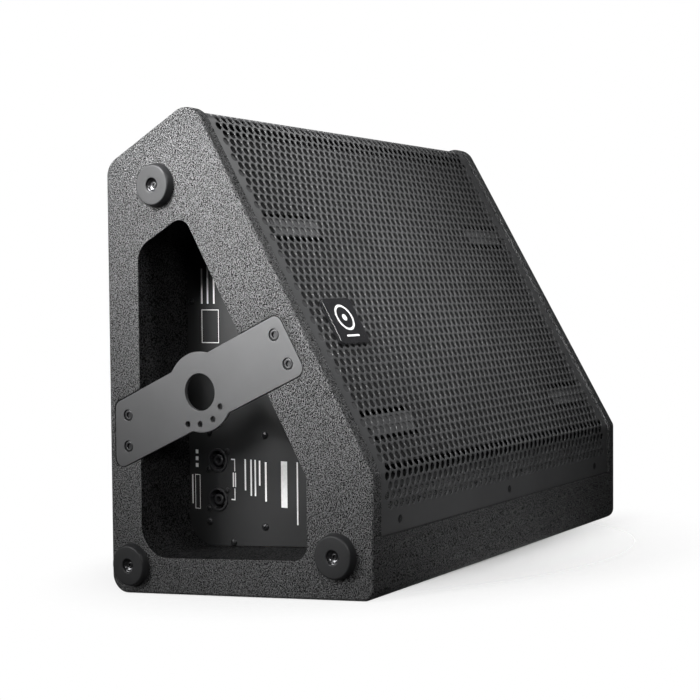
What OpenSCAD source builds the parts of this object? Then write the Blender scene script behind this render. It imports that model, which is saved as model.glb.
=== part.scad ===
// Stage monitor wedge: a five-sided plywood cabinet with a perforated steel grille, a connector
// well with a pole-mount bracket in its left side, a twelve-inch woofer and a horn.
// The cabinet is drawn square to its rear face, where x runs from the left side to the right,
// y is minus the distance in front of the rear face and z runs up that face.
// stand() then tips it by lean, so that it stands on its base with +Z up.

/* [Cabinet] */
// Length between the outer faces of the two side panels
cab_len = 555; // [545:1:575]
// Depth of the base, from the rear edge to the front edge
base_depth = 311; // [309:1:320]
// Height of the rear face, measured along it
rear_len = 429; // [427:1:436]
// Height of the front face below the grille bend
front_len = 113; // [111:1:116]
// Length of the sloping face
slope_len = 404; // [402:1:410]
// Tilt of the sloping face away from the rear face, degrees
slope_tilt = 30; // [29.5:0.1:30.5]
// Forward lean of the front and rear faces when the wedge stands on its base, degrees
lean = 4.5; // [4:0.1:5]
// Thickness of the plywood
ply = 15; // [15:0.5:15.5]

/* [Grille] */
// Depth of the grille below the edges of the side panels
grille_recess = 3; // [2:0.5:3.5]
// Thickness of the grille sheet
grille_t = 1.2; // [1:0.1:1.6]
// How far the grille runs down the front face
grille_drop = 57; // [54:1:60]
// How far the grille runs over the top onto the upper rear face
grille_wrap = 40; // [36:1:44]
// Thickness of the foam behind the grille
foam_t = 5; // [4:0.5:6]

/* [Connector well] */
// Depth of the terminal plate below the left side
well_depth = 75; // [72:1:78]
// Thickness of the well's walls
well_wall = 9; // [8:0.5:10]
// Thickness of the steel terminal plate
plate_t = 2; // [1.5:0.5:2]

/* [Pole bracket] */
// Diameter of the hole for a loudspeaker pole
pole_d = 36; // [35.5:0.5:37]
// Diameter of the round boss around the pole hole
boss_d = 78; // [74:1:80]
// Width of the bracket
bracket_w = 62; // [58:1:64]
// Thickness of the bracket
bracket_t = 4; // [3:0.5:5]

/* [Feet] */
// Diameter of a foot where it meets the panel
foot_d = 43; // [38:1:44]
// Height of a foot
foot_h = 8; // [7:0.5:10]

/* [Badge] */
// Side of the square badge
badge_side = 50; // [44:1:52]
// Thickness of the badge
badge_t = 4; // [3:0.5:4]

/* [Hidden] */
$fn = 48;
eps = 0.1;
arc_steps = 6;

// The corners of the cabinet's outline, drawn square to the rear face: apex, upper rear, lower
// rear, lower front and the front corner at the grille's bend.
rear_low = [0, 0];
rear_top = [0, rear_len];
front_low = base_depth * [-cos(lean), sin(lean)];
front_top = front_low + [0, front_len];
slope_up = [sin(slope_tilt), cos(slope_tilt)];
slope_out = [-cos(slope_tilt), sin(slope_tilt)];
apex = front_top + slope_len * slope_up;
outline = [apex, rear_top, rear_low, front_low, front_top];
outline_r = [23, 20, 18, 12, 9];
grille_in = grille_recess + grille_t;
inner_len = cab_len - 2 * ply;
rail_top = front_low[1] + 95;
grille_low = front_top[1] - grille_drop;

// The acoustic axis crosses the slope this far below the apex, and the parts on the baffle are
// placed in a frame there: x from the left side, y up the slope and z out of it.
axis_down = 247;
axis_point = apex - axis_down * slope_up;
baffle_in = 34;
baffle_t = 15;
woofer_x = 240;
horn_x = 458;
horn_screw_x = [-54, 54];
horn_screw_y = [-70, 70];
port_xs = [428, 490];
port_up = axis_down - 78;
badge_x = 78;

// Well in the left side: how far each edge of its mouth lies inside the cabinet's edge.
well_margin = [93, 40, 36, 72, 65];
well_r = [14, 22, 30, 16, 10];
well_end = well_depth + plate_t;
back_t = 12;

pole_at = [-115, 206];
bracket_angle = 24.3;
bracket_gap = 1;
bracket_sink = 0.3;
bracket_end_in = 16.5;
bracket_rear_in = 7.5;
bracket_screw_at = [[-24, 149], [-24, 180], [-218.5, 235.3], [-203, 262]];
tilt_holes = [[-24.5, -13.1], [-15.7, -25.4], [0, -31], [15, -31.6]];
foot_at = [[-65, 406], [-27.5, 31], [-271, 62]];
socket_at = [[-78, 130.5], [-78, 90.5]];
board_screw_at = [[-67, 67], [-137, 67], [-137, 159], [-67, 159]];
plate_screw_at = [[-46, 292], [-46, 180], [-97, 48], [-190, 58.5], [-232, 95], [-205, 176],
    [-157, 258]];
black = [0.09, 0.09, 0.1];
dark = [0.16, 0.16, 0.17];
birch = [0.62, 0.5, 0.34];
zinc = [0.62, 0.62, 0.64];

// ---- outline helpers ----
function unit(v) = v / norm(v);
function wrap(i, n) = (i + n) % n;
function turn_in(v) = [v[1], -v[0]];
// Where the line through p along d meets the line through q along e.
function meet(p, d, q, e) = p + d * cross(q - p, e) / cross(d, e);
// Corners of an outline whose edge i, from corner i to the next, is moved in by d[i].
function inset(p, d) = let (n = len(p)) [for (i = [0:n - 1])
    let (e0 = unit(p[i] - p[wrap(i - 1, n)]), e1 = unit(p[wrap(i + 1, n)] - p[i]),
        a = p[i] + turn_in(e0) * d[wrap(i - 1, n)], b = p[i] + turn_in(e1) * d[i]) meet(a, e0, b, e1)];
// The outline with each corner rounded to its own radius.
function rounded(p, r) = let (n = len(p)) [for (i = [0:n - 1])
    let (back = unit(p[wrap(i - 1, n)] - p[i]), on = unit(p[wrap(i + 1, n)] - p[i]),
        half = acos(back * on) / 2, centre = p[i] + unit(back + on) * r[i] / sin(half),
        start = p[i] + back * r[i] / tan(half) - centre,
        end = p[i] + on * r[i] / tan(half) - centre,
        from = atan2(start[1], start[0]), to = atan2(end[1], end[0]),
        sweep = to - from > 180 ? to - from - 360 : to - from < -180 ? to - from + 360 : to - from)
    for (k = [0:arc_steps]) centre + r[i] * [cos(from + sweep * k / arc_steps),
        sin(from + sweep * k / arc_steps)]];
function same(value) = [for (i = [0:4]) value];
function shell_outline(d) = rounded(inset(outline, same(d)), [for (r = outline_r) max(r - d, 1)]);
function well_outline(d) = rounded(inset(outline, [for (m = well_margin) m + d]),
    [for (r = well_r) max(r - d, 2)]);
inner = inset(outline, same(ply));
// A sealed cavity needs room for its own seam, so inside parts keep this far from the panels.
clear = 0.3;

// ---- placing helpers ----
module stand() {
    reach = [for (p = shell_outline(0)) p[0] * cos(lean) - p[1] * sin(lean)];
    translate([(foot_h - cab_len) / 2, -(min(reach) + max(reach)) / 2, 0]) rotate([lean, 0, 0]) children();
}
module along_x(from, length) {
    translate([from, 0, 0]) rotate([90, 0, 90]) linear_extrude(length) children();
}
module on_side(depth, at) {
    translate([depth, at[0], at[1]]) rotate([0, 90, 0]) children();
}
module on_slope(x, up) {
    translate([0, axis_point[0], axis_point[1]]) rotate([90 - slope_tilt, 0, 0])
        translate([x, up, 0]) children();
}
module tube(r_out, r_in, from, height) {
    translate([0, 0, from]) difference() {
        cylinder(r = r_out, h = height, $fn = 64);
        translate([0, 0, -eps]) cylinder(r = r_in, h = height + 2 * eps, $fn = 64);
    }
}
module disc(r, from, height) {
    translate([0, 0, from]) cylinder(r = r, h = height);
}
module slab(size, low, high) {
    translate([-size[0] / 2, -size[1] / 2, low]) cube([size[0], size[1], high - low]);
}
// A screw along +z from its head's underside at z = 0: a flat cylinder head and a shank.
module screw(head_r, head_h, shank_r, length) {
    difference() {
        translate([0, 0, -head_h]) cylinder(r = head_r, h = head_h, $fn = 24);
        translate([0, 0, -head_h - eps]) cylinder(r = shank_r * 0.7, h = head_h * 0.6, $fn = 6);
    }
    cylinder(r = shank_r, h = length, $fn = 24);
}
// A countersunk screw whose flush face lies at z = 0.
module flush_screw(head_r, shank_r, length) {
    difference() {
        rotate_extrude($fn = 24) polygon([[0, 0], [head_r, 0], [shank_r, head_r - shank_r],
            [shank_r, length], [0, length]]);
        translate([0, 0, -eps]) cylinder(r = shank_r * 0.7, h = 1, $fn = 6);
    }
}
// The strip of plywood along one edge of the outline, mitred at both ends.
module strip(i) {
    next = wrap(i + 1, 5);
    intersection() {
        polygon(shell_outline(0));
        polygon([outline[i], outline[next], inner[next], inner[i]]);
    }
}
// A bent wire: a tube swept along a list of points.
module wire(path, r) {
    sides = 8;
    rings = [for (i = [0:len(path) - 1])
        let (tangent = unit(path[min(i + 1, len(path) - 1)] - path[max(i - 1, 0)]),
            across = unit(cross(tangent, [0.31, 0.2, 0.93])), up = cross(tangent, across))
        [for (k = [0:sides - 1]) let (a = 360 * k / sides) path[i] + r * (across * cos(a) + up * sin(a))]];
    last = len(path) - 1;
    polyhedron([for (ring = rings) each ring], concat(
        [[for (k = [sides - 1:-1:0]) k]],
        [for (i = [0:last - 1]) for (k = [0:sides - 1])
            let (a = i * sides, b = a + sides, next = (k + 1) % sides) [a + k, a + next, b + next, b + k]],
        [[for (k = [0:sides - 1]) last * sides + k]]));
}
// Points along a smooth curve from a to d, which leaves a towards b and reaches d from c.
function bend(a, b, c, d) = [for (k = [0:14]) let (t = k / 14, s = 1 - t)
    s * s * s * a + 3 * s * s * t * b + 3 * s * t * t * c + t * t * t * d];

// ---- cabinet ----
// The bracket's outline: a band through the pole hole, cut off parallel to the rear face and to
// the slope, with a round boss. gap grows it into the pocket that it lies in.
module bracket_blank(from, thickness, gap) {
    along = [-cos(bracket_angle), sin(bracket_angle)];
    side = turn_in(along) * (bracket_w / 2 + gap);
    slope_end = apex - slope_out * (bracket_end_in - gap);
    rear_end = [gap - bracket_rear_in, 0];
    corners = [meet(pole_at + side, along, rear_end, [0, 1]),
        meet(pole_at - side, along, rear_end, [0, 1]),
        meet(pole_at - side, along, slope_end, slope_up),
        meet(pole_at + side, along, slope_end, slope_up)];
    along_x(from, thickness) polygon(rounded(corners, same(9 + gap)));
    on_side(from, pole_at) cylinder(r = boss_d / 2 + gap, h = thickness, $fn = 96);
}
module side_panel_left() {
    color(black) stand() difference() {
        along_x(0, ply) polygon(shell_outline(0));
        along_x(-eps, ply + 2 * eps) polygon(well_outline(0));
        bracket_blank(-eps, bracket_t + bracket_sink + eps, bracket_gap);
        for (at = bracket_screw_at) on_side(-eps, at) cylinder(r = 5.3, h = ply + 2 * eps);
        for (at = foot_at) on_side(-eps, at) cylinder(r = 2.2, h = 12.5);
    }
}
module side_panel_right() {
    color(black) stand() along_x(cab_len - ply, ply) polygon(shell_outline(0));
}
module bottom_panel() {
    color(black) stand() along_x(ply, inner_len) strip(2);
}
module rear_panel() {
    color(black) stand() along_x(ply, inner_len) strip(1);
}
module upper_rear_panel() {
    down = unit(rear_top - apex);
    color(black) stand() difference() {
        along_x(ply, inner_len) difference() {
            strip(0);
            difference() {
                polygon([for (k = [[1, -20], [1, 40], [0, 40], [0, -20]])
                    apex + down * (k[0] * (grille_wrap + 31) - 30) + turn_in(down) * k[1]]);
                polygon(shell_outline(grille_in + 0.1));
            }
        }
        at_top_screws() pilot();
    }
}
module front_rail() {
    color(black) stand() difference() {
        along_x(ply, inner_len) difference() {
            strip(3);
            translate([front_top[0] - 10, rail_top]) square([60, 60]);
            translate([front_top[0] - 10, grille_low - 0.5]) square([10 + grille_in + 0.1, 80]);
        }
        at_front_screws() pilot();
    }
}
module baffle() {
    color(black) stand() difference() {
        intersection() {
            on_slope(ply + clear, -220) translate([0, 0, -baffle_in - baffle_t])
                cube([inner_len - 2 * clear, 220 + axis_down, baffle_t]);
            along_x(0, cab_len) polygon(inset(outline, concat([for (i = [0:3]) ply + clear], [0])));
        }
        on_slope(woofer_x, 0) disc(141, -60, 40);
        on_slope(horn_x, 0) slab([109, 135], -60, -20);
        for (x = port_xs) on_slope(x, port_up) disc(25, -60, 40);
        for (a = [22.5:45:359]) on_slope(woofer_x, 0) rotate(a) translate([149, 0]) disc(2.3, -60, 40);
        for (x = horn_screw_x, y = horn_screw_y) on_slope(horn_x + x, y) disc(1.9, -60, 40);
    }
}
module inner_brace() {
    color(birch) stand() along_x(386, 12) difference() {
        polygon(inset(outline, [ply + clear, ply + clear, ply + clear, ply + clear,
            baffle_in + baffle_t + clear]));
        polygon(rounded(inset(outline, [110, 50, 45, 80, 85]), same(14)));
    }
}
module well_walls() {
    color(black) stand() along_x(ply, well_end - ply) difference() {
        polygon(well_outline(-well_wall));
        polygon(well_outline(0));
    }
}
module well_back() {
    color(birch) stand() difference() {
        along_x(well_end, back_t) difference() {
            polygon(well_outline(-well_wall));
            polygon(well_outline(10));
        }
        for (at = plate_screw_at) on_side(well_end - eps, at) cylinder(r = 1.9, h = back_t + 2 * eps);
    }
}

// ---- grille ----
front_screw_z = grille_low + 11.5;
function front_screw_xs() = [for (k = [-1:1]) cab_len / 2 + k * 225];
top_screw_down = grille_wrap - 11.5;
module grille_section(near, far) {
    down = unit(rear_top - apex);
    difference() {
        polygon(shell_outline(near));
        polygon(shell_outline(far));
        polygon([apex + down * grille_wrap - turn_in(down) * 30, rear_top + [80, 40], rear_low + [80, -60],
            front_low - [60, 60], [front_low[0] - 60, grille_low], [front_low[0] + 60, grille_low],
            [front_low[0] + 120, grille_low + 60], apex + down * grille_wrap + turn_in(down) * 60]);
    }
}
module at_front_screws() {
    for (x = front_screw_xs()) translate([x, front_top[0] + grille_recess, front_screw_z])
        rotate([-90, 0, 0]) children();
}
module at_top_screws() {
    down = unit(rear_top - apex);
    top_at = apex + down * top_screw_down + turn_in(down) * grille_recess;
    tip = atan2(down[1], down[0]);
    for (x = front_screw_xs()) translate([x, top_at[0], top_at[1]]) rotate([180 + tip, 0, 0]) children();
}
module countersink() {
    depth = grille_t + 2 * eps;
    translate([0, 0, -eps]) cylinder(r1 = 4.4, r2 = 4.4 - depth, h = depth, $fn = 24);
}
module pilot() {
    translate([0, 0, grille_t]) {
        cylinder(r = 2.8, h = 1);
        cylinder(r = 1.8, h = 9);
    }
}
module grille() {
    color(black) stand() difference() {
        along_x(ply + 0.5, inner_len - 1) grille_section(grille_recess, grille_in);
        at_front_screws() countersink();
        at_top_screws() countersink();
        on_slope(badge_x, 0) disc(3.05, -10, 10);
    }
}
foam_back = grille_in + foam_t;
block_xs = [79, cab_len - 79];
block_ys = [axis_down - 140, axis_down - 355];
module grille_foam() {
    color(dark) stand() difference() {
        on_slope(cab_len / 2, 32) slab([cab_len - 2 * 35, 360], -foam_back - clear, -grille_in - 0.05);
        for (x = block_xs, y = block_ys) on_slope(x, y) slab([80, 22], -12, 0);
        on_slope(badge_x, 0) disc(11, -12, 12);
    }
}
module grille_blocks() {
    color(dark) stand() for (x = block_xs, y = block_ys)
        on_slope(x, y) slab([78, 20], -baffle_in, -grille_in - 0.05);
}
module side_battens() {
    color(dark) stand() for (x = [ply + clear + 9.5, cab_len - ply - clear - 9.5])
        on_slope(x, 32) slab([19, 360], -baffle_in, -grille_in - 0.05);
}
module grille_screws() {
    color(dark) stand() {
        at_front_screws() flush_screw(4, 1.8, 10);
        at_top_screws() flush_screw(4, 1.8, 10);
    }
}
module badge() {
    corners = [for (c = [[1, 1], [-1, 1], [-1, -1], [1, -1]]) c * badge_side / 2];
    color(black) stand() on_slope(badge_x, 0) translate([0, 0, -grille_recess + clear]) {
        linear_extrude(badge_t) polygon(rounded(corners, same(5)));
        translate([0, 0, -8]) cylinder(r = 3, h = 8.1);
    }
}
module badge_clip() {
    color(zinc) stand() on_slope(badge_x, 0) tube(6, 3.05, -grille_in - 2, 1.2);
}

// ---- pole bracket and feet ----
module pole_bracket() {
    color(dark) stand() difference() {
        bracket_blank(bracket_sink, bracket_t, 0);
        on_side(-eps, pole_at) cylinder(r = pole_d / 2, h = bracket_t + 1, $fn = 96);
        for (at = tilt_holes) on_side(-eps, pole_at + at) cylinder(r = 3, h = bracket_t + 1);
        for (at = bracket_screw_at) on_side(-eps, at) cylinder(r = 3.2, h = bracket_t + 1);
        for (at = bracket_screw_at) on_side(-eps, at) cylinder(r = 5.7, h = 2.6);
    }
}
module bracket_screws() {
    color(dark) stand() for (at = bracket_screw_at) on_side(2.5, at) screw(5.4, 2, 3, 11.5);
}
module bracket_nuts() {
    color(zinc) stand() for (at = bracket_screw_at) on_side(0, at)
        tube(5.2, 3.05, bracket_t + 0.4, ply - bracket_t - 0.6);
}
foot_hole_r = 6.5;
module feet() {
    color(black) stand() for (at = foot_at) on_side(-foot_h, at) difference() {
        rotate_extrude($fn = 64) polygon([[2.5, 4.5], [foot_hole_r, 4.5], [foot_hole_r, 0], [18.4, 0],
            [19.4, 0.45], [20.2, 1.8], [foot_d / 2 - 0.4, foot_h - 1], [foot_d / 2, foot_h],
            [2.5, foot_h]]);
    }
}
module foot_washers() {
    color(zinc) stand() for (at = foot_at) on_side(-foot_h, at) tube(6.2, 2.5, 3.5, 1);
}
module foot_screws() {
    color(dark) stand() for (at = foot_at) on_side(-foot_h + 3.5, at) screw(4.2, 2.2, 2.2, ply + 1);
}

// ---- terminal plate and crossover ----
socket_r = 12;
module terminal_plate() {
    color(dark) stand() difference() {
        along_x(well_depth, plate_t) polygon(well_outline(0.4));
        for (at = socket_at) on_side(well_depth - eps, at) {
            cylinder(r = socket_r + 0.2, h = plate_t + 1);
            for (s = [-1, 1]) translate([s * 9.5, s * 12]) cylinder(r = 1.7, h = plate_t + 1);
        }
        for (at = plate_screw_at) on_side(well_depth - eps, at) cylinder(r = 2.1, h = plate_t + 1);
        for (at = board_screw_at) on_side(well_depth - eps, at) cylinder(r = 2.1, h = plate_t + 1);
    }
}
module terminal_screws() {
    color(dark) stand() for (at = plate_screw_at) on_side(well_depth, at) screw(3.8, 2.2, 1.9, 12);
}
module speaker_sockets() {
    flange = [[13, 15.5], [-13, 15.5], [-13, -15.5], [13, -15.5]];
    color(black) stand() for (at = socket_at) on_side(well_end, at) {
        difference() {
            union() {
                linear_extrude(2.5) polygon(rounded(flange, same(3)));
                disc(socket_r, -plate_t - 1.5, 24);
            }
            disc(9.6, -10, 25);
            for (s = [-1, 1]) translate([s * 9.5, s * 12]) disc(1.5, -eps, 5);
        }
        tube(5.6, 3, -1.5, 20);
    }
}
module socket_screws() {
    color(dark) stand() for (at = socket_at, s = [-1, 1]) on_side(well_depth, at)
        translate([s * 9.5, s * 12]) screw(2.8, 1.6, 1.45, 8);
}
board_from = 103;
board_t = 1.6;
module crossover_board() {
    color([0.1, 0.3, 0.16]) stand() difference() {
        translate([board_from, -145, 60]) cube([board_t, 86, 106]);
        for (at = board_screw_at) on_side(board_from - eps, at) cylinder(r = 2.1, h = board_t + 1);
    }
}
module crossover_screws() {
    color(zinc) stand() for (at = board_screw_at) {
        on_side(well_depth, at) screw(3.8, 2.2, 1.9, board_from - well_depth + 5);
        on_side(board_from + board_t, at) tube(3.6, 1.9, 0, 2.6);
    }
}
module crossover_spacers() {
    color(zinc) stand() for (at = board_screw_at) on_side(0, at)
        tube(4, 2, well_end, board_from - well_end);
}
module crossover_coils() {
    color([0.72, 0.4, 0.2]) stand() {
        on_side(board_from + board_t, [-122, 136]) tube(19, 9, 0, 20);
        on_side(board_from + board_t, [-85, 92]) tube(14, 6, 0, 15);
    }
}
module crossover_capacitors() {
    color([0.75, 0.72, 0.6]) stand() for (k = [0:2])
        translate([board_from + board_t + 6.5, -110, 79 + 14 * k]) rotate([90, 0, 0])
            cylinder(r = 6.5, h = 26);
}

// ---- woofer ----
flange_z = -baffle_in;
magnet_z = -108;
module woofer_basket() {
    color(black) stand() on_slope(woofer_x, 0) difference() {
        rotate_extrude($fn = 96) polygon([[155, flange_z], [155, flange_z + 5], [131, flange_z + 5],
            [131, flange_z - 20], [86, -87], [72, -87], [72, magnet_z + 3], [40, magnet_z + 3],
            [40, magnet_z], [75, magnet_z], [75, -90], [88, -90], [134, flange_z - 22], [134, flange_z]]);
        for (a = [0:60:359]) rotate(a) translate([100, -30, -86]) cube([60, 60, 34]);
        for (a = [22.5:45:359]) rotate(a) translate([149, 0]) disc(2.5, flange_z - 1, 8);
    }
}
module woofer_gasket() {
    color(dark) stand() on_slope(woofer_x, 0) tube(143, 132, flange_z + 6.2, 2.6);
}
module woofer_screws() {
    color(zinc) stand() for (a = [22.5:45:359]) on_slope(woofer_x, 0) rotate(a)
        translate([149, 0, flange_z + 5]) rotate([180, 0, 0]) screw(4.2, 2.6, 2.2, 22);
}
module woofer_surround() {
    color(black) stand() on_slope(woofer_x, 0) rotate_extrude($fn = 96) difference() {
        union() {
            translate([125, flange_z + 5]) circle(r = 6.8);
            translate([112, flange_z + 5]) square([31, 1.2]);
        }
        translate([125, flange_z + 5]) circle(r = 5.6);
        translate([110, flange_z - 15]) square([40, 20]);
    }
}
cone_foot = [26, -80];
cone_rim = [112, flange_z + 5];
// The cone's front surface flares: its height at a share t of the way from foot to rim.
function cone_point(t) = [cone_foot[0] + t * (cone_rim[0] - cone_foot[0]),
    cone_foot[1] + (1 - pow(1 - t, 1.25)) * (cone_rim[1] - cone_foot[1])];
module woofer_cone() {
    cone_t = 1.8;
    color(black) stand() on_slope(woofer_x, 0) rotate_extrude($fn = 96) polygon(concat(
        [for (k = [0:8]) cone_point(k / 8)], [cone_rim + [6, 0], cone_rim + [6, -cone_t]],
        [for (k = [8:-1:0]) cone_point(k / 8) - [0, cone_t]]));
}
module dust_cap() {
    cap_r = 40;
    seat_z = cone_point((cap_r - cone_foot[0]) / (cone_rim[0] - cone_foot[0]))[1] + 0.1;
    dome_r = 70;
    color(black) stand() on_slope(woofer_x, 0) translate([0, 0, seat_z]) rotate_extrude($fn = 64)
        intersection() {
            translate([0, -sqrt(dome_r * dome_r - cap_r * cap_r)]) difference() {
                circle(r = dome_r);
                circle(r = dome_r - 1);
            }
            square([cap_r, 30]);
        }
}
module voice_coil() {
    color([0.72, 0.4, 0.2]) stand() on_slope(woofer_x, 0) {
        tube(26, 25.4, -126, 46);
        tube(26.8, 26, -119, 14);
    }
}
module woofer_spider() {
    roll = 1.4;
    color([0.7, 0.55, 0.3]) stand() on_slope(woofer_x, 0) rotate_extrude($fn = 64) polygon(concat(
        [for (k = [0:20]) [26.1 + 53 * k / 20, -86 + roll * sin(min(k, 16) * 90)]],
        [for (k = [20:-1:0]) [26.1 + 53 * k / 20, -87 + roll * sin(min(k, 16) * 90)]]));
}
module woofer_top_plate() {
    color(zinc) stand() on_slope(woofer_x, 0) tube(68, 27.6, magnet_z - 8, 8);
}
module woofer_magnet() {
    color([0.2, 0.2, 0.21]) stand() on_slope(woofer_x, 0) tube(78, 42, magnet_z - 28, 20);
}
module woofer_back_plate() {
    color(zinc) stand() on_slope(woofer_x, 0) difference() {
        union() {
            disc(68, magnet_z - 36, 8);
            disc(24.6, magnet_z - 28.1, 28.1);
        }
        disc(6, magnet_z - 40, 50);
    }
}

// ---- horn and ports ----
throat_z = -122;
module horn_flare() {
    module mouth(grow, z) {
        slab([100 + grow, 126 + grow], z, z + 0.5);
    }
    color(black) stand() on_slope(horn_x, 0) difference() {
        union() {
            slab([120, 150], flange_z, flange_z + 4);
            hull() {
                mouth(6, flange_z);
                translate([0, 0, -75]) cube([48, 76, 1], center = true);
            }
            hull() {
                translate([0, 0, -75]) cube([48, 76, 1], center = true);
                disc(16, throat_z, 1, $fn = 32);
            }
            disc(34, throat_z, 6);
        }
        hull() {
            mouth(0, flange_z + 3.8);
            translate([0, 0, -75]) cube([42, 70, 1], center = true);
        }
        hull() {
            translate([0, 0, -74.8]) cube([42, 70, 1], center = true);
            disc(12.7, throat_z - 1, 1, $fn = 32);
        }
        for (x = horn_screw_x, y = horn_screw_y) translate([x, y]) disc(2.2, flange_z - 1, 8);
    }
}
module horn_screws() {
    color(zinc) stand() for (x = horn_screw_x, y = horn_screw_y) on_slope(horn_x + x, y)
        translate([0, 0, flange_z + 4]) rotate([180, 0, 0]) screw(4, 2.4, 1.8, 18);
}
module compression_driver() {
    color([0.2, 0.2, 0.21]) stand() on_slope(horn_x, 0) difference() {
        union() {
            disc(34, throat_z - 8, 8);
            disc(45, throat_z - 30, 22);
            disc(42, throat_z - 38, 8);
        }
        disc(12.7, throat_z - 20, 30);
    }
}
module driver_cover() {
    color(black) stand() on_slope(horn_x, 0) translate([0, 0, throat_z - 48]) rotate_extrude()
        polygon([[0, 0], [30, 0], [36, 2.5], [38, 6], [38, 10], [0, 10]]);
}
module port_tubes() {
    color(black) stand() for (x = port_xs) on_slope(x, port_up) difference() {
        union() {
            disc(24.8, flange_z - 60, 60);
            disc(29, flange_z, 3);
        }
        disc(22, flange_z - 61, 70);
    }
}

// ---- lining and leads ----
module damping_wadding() {
    color([0.5, 0.5, 0.48]) stand() for (span = [[100, 380], [404, 534]])
        translate([span[0], -ply - 20.5, 60]) cube([span[1] - span[0], 20, 340]);
}
module woofer_leads() {
    color([0.6, 0.1, 0.1]) stand() for (k = [0, 1]) wire(bend([board_from + board_t + 1, -96 + 8 * k, 125],
        [160, -96 + 8 * k, 125], [228 + 8 * k, -190, 100], [236 + 8 * k, -200, 147]), 1.6);
}
module horn_leads() {
    color([0.1, 0.1, 0.12]) stand() for (k = [0, 1]) wire(bend([board_from + board_t + 1, -68 - 8 * k, 140],
        [220, -60 - 8 * k, 90], [330, -60 - 8 * k, 130], [411, -105 - 8 * k, 203]), 1.4);
}

side_panel_left();
side_panel_right();
bottom_panel();
rear_panel();
upper_rear_panel();
front_rail();
baffle();
inner_brace();
well_walls();
well_back();
grille();
grille_foam();
grille_blocks();
side_battens();
grille_screws();
badge();
badge_clip();
pole_bracket();
bracket_screws();
bracket_nuts();
feet();
foot_washers();
foot_screws();
terminal_plate();
terminal_screws();
speaker_sockets();
socket_screws();
crossover_board();
crossover_screws();
crossover_spacers();
crossover_coils();
crossover_capacitors();
woofer_basket();
woofer_gasket();
woofer_screws();
woofer_surround();
woofer_cone();
dust_cap();
voice_coil();
woofer_spider();
woofer_top_plate();
woofer_magnet();
woofer_back_plate();
horn_flare();
horn_screws();
compression_driver();
driver_cover();
port_tubes();
damping_wadding();
woofer_leads();
horn_leads();
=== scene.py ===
"""Looks of the stage monitor wedge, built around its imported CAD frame.

Points are worked out in millimetres square to the cabinet's rear face, as the CAD is: x from the
left side's outer face, y minus the distance in front of the rear face, z up that face. place()
tips them by LEAN and turns them into metres in the row frame.
"""

from math import acos, asin, atan2, cos, exp, hypot, pi, radians, sin, sqrt, tan

import bmesh
import bpy
import numpy as np
from mathutils import Matrix, Vector
from mathutils.geometry import tessellate_polygon


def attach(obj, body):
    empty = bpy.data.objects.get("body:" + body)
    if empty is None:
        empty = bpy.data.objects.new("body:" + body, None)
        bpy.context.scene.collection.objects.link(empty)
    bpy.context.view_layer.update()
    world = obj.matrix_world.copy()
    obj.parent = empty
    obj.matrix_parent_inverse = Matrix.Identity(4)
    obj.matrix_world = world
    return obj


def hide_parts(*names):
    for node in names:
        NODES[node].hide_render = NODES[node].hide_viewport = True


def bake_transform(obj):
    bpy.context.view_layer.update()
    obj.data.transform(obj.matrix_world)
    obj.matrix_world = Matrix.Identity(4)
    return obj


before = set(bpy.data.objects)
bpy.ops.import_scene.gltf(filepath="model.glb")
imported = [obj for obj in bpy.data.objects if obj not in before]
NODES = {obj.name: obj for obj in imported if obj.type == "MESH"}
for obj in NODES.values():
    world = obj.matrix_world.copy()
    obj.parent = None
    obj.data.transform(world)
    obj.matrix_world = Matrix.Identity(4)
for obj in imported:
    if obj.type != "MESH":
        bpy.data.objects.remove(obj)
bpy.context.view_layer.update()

# ---- the cabinet's own measures, in millimetres ----
LEAN = radians(4.5)
CAB_LEN = 555.0
PLY = 15.0
BASE_DEPTH, REAR_LEN, FRONT_LEN, SLOPE_LEN = 311.0, 429.0, 113.0, 404.0
SLOPE_TILT = radians(30)
CORNER_R = (23.0, 20.0, 18.0, 12.0, 9.0)
WELL_MARGIN = (93.0, 40.0, 36.0, 72.0, 65.0)
WELL_R = (14.0, 22.0, 30.0, 16.0, 10.0)
WELL_DEPTH, PLATE_T = 75.0, 2.0
GRILLE_RECESS, GRILLE_T = 3.0, 1.2
GRILLE_WRAP = 40.0
FOOT_H = 8.0
AXIS_DOWN = 247.0
BADGE_X = 78.0
POLE_AT = (-115.0, 206.0)
BRACKET_ANGLE = radians(24.3)
ARC_STEPS = 16

FRONT_LOW = np.array((-cos(LEAN), sin(LEAN))) * BASE_DEPTH
FRONT_TOP = FRONT_LOW + (0, FRONT_LEN)
SLOPE_UP = np.array((sin(SLOPE_TILT), cos(SLOPE_TILT)))
SLOPE_OUT = np.array((-cos(SLOPE_TILT), sin(SLOPE_TILT)))
APEX = FRONT_TOP + SLOPE_LEN * SLOPE_UP
REAR_TOP = np.array((0.0, REAR_LEN))
OUTLINE = [APEX, REAR_TOP, np.array((0.0, 0.0)), FRONT_LOW, FRONT_TOP]
AXIS_POINT = APEX - AXIS_DOWN * SLOPE_UP
GRILLE_LOW = FRONT_TOP[1] - 57.0


def unit(v):
    return v / np.hypot(*v)


def turn_in(v):
    return np.array((v[1], -v[0]))


DOWN = unit(REAR_TOP - APEX)  # down the upper rear face


def cross2(a, b):
    return a[0] * b[1] - a[1] * b[0]


def meet(p, d, q, e):
    """Where the line through p along d meets the line through q along e."""
    return p + d * cross2(q - p, e) / cross2(d, e)


def inset(points, depths):
    made, n = [], len(points)
    for i in range(n):
        e0 = unit(points[i] - points[i - 1])
        e1 = unit(points[(i + 1) % n] - points[i])
        side0, side1 = points[i] + turn_in(e0) * depths[i - 1], points[i] + turn_in(e1) * depths[i]
        made.append(meet(side0, e0, side1, e1))
    return made


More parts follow.
